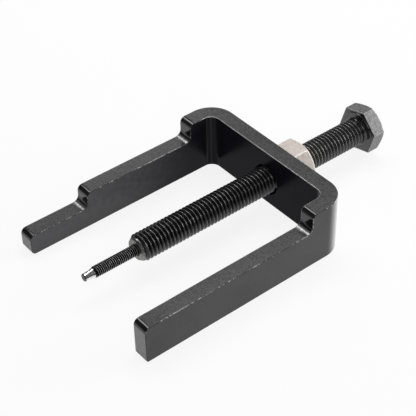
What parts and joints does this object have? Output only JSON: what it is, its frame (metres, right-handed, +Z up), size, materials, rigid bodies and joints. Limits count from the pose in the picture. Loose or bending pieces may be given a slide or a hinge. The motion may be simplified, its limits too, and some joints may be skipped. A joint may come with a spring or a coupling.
{
  "type": "clutch roller pin extractor",
  "caption": "Bridge puller for clutch roller pins: stepped U-shaped yoke, hexagon-headed draw screw with a threaded stud tip, and a hexagon nut that draws it back.",
  "frame": {"origin": "centre of the underside of the yoke's bridge, on the surface that the yoke stands on", "axes": "+Z up, across the bar's height; -Y the way the arms and the stud point; +Y towards the hexagon head; the two-step arm is at -X"},
  "size_m": [0.07, 0.1282, 0.0214],
  "materials": {
    "yoke_black": "satin black with lightly worn edges",
    "screw_black": "black oxide, oiled, with a greyer head",
    "nut_bare": "bare steel, fine satin",
    "stud_black": "black oxide thread with a bright turned pilot"
  },
  "bodies": {
    "yoke": {"yoke": "yoke_black"},
    "nut": {"draw_nut": "nut_bare"},
    "screw": {"draw_screw": "screw_black", "tip_stud": "stud_black"}
  },
  "joints": [
    {"name": "nut_spin", "type": "hinge", "parent": "yoke", "child": "nut", "pos_m": [0, 0.0081, 0.0096], "axis": [0, -1, 0], "range_deg": [-6120, 12600]},
    {"name": "screw_travel", "type": "slide", "parent": "yoke", "child": "screw", "axis": [0, 1, 0], "range_m": [-0.0257, 0.0527]}
  ],
  "couplings": [
    {"joint": "screw_travel", "follows": "nut_spin", "m_per_rad": 0.00023873}
  ]
}
